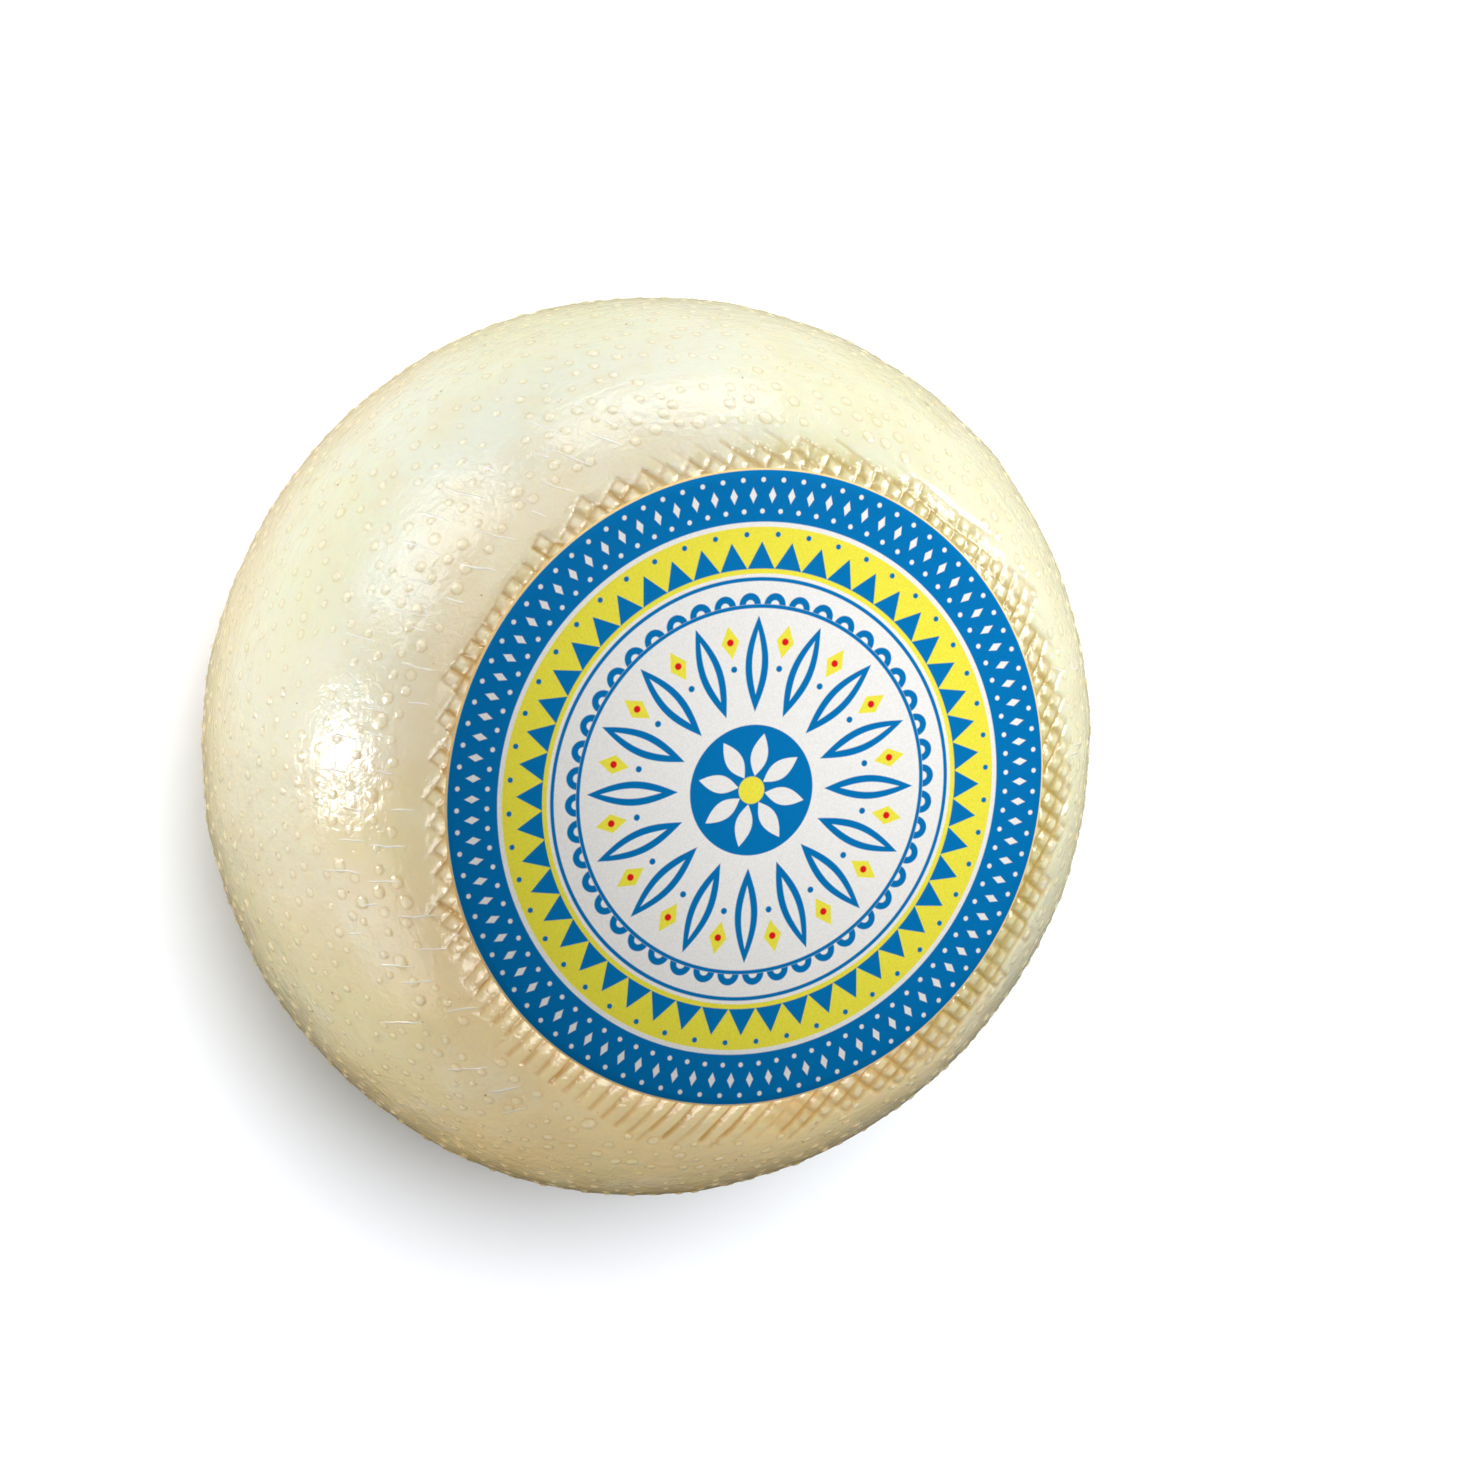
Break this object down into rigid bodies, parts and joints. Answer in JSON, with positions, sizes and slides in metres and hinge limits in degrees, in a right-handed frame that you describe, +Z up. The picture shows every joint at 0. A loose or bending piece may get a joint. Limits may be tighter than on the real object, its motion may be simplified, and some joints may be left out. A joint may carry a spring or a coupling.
{
  "type": "fresh pecorino wheel",
  "caption": "Whole wheel of fresh sheep's milk cheese with a bulging ivory rind, a basket imprint round a round paper label, lying on its flat back face.",
  "frame": {"origin": "middle of the flat face that the wheel rests on", "axes": "+Z up along the wheel's axis, from the back face to the labelled face; +X and +Y along the two directions of the basket imprint"},
  "size_m": [0.2008, 0.1992, 0.1183],
  "materials": {
    "rind": "moist glossy ivory cheese rind, slightly translucent, with small blisters and a square basket imprint",
    "label_paper": "satin printed paper with rings of blue, white and yellow and small red dots"
  },
  "bodies": {
    "root": {"cheese": "rind", "label": "label_paper"}
  },
  "joints": []
}
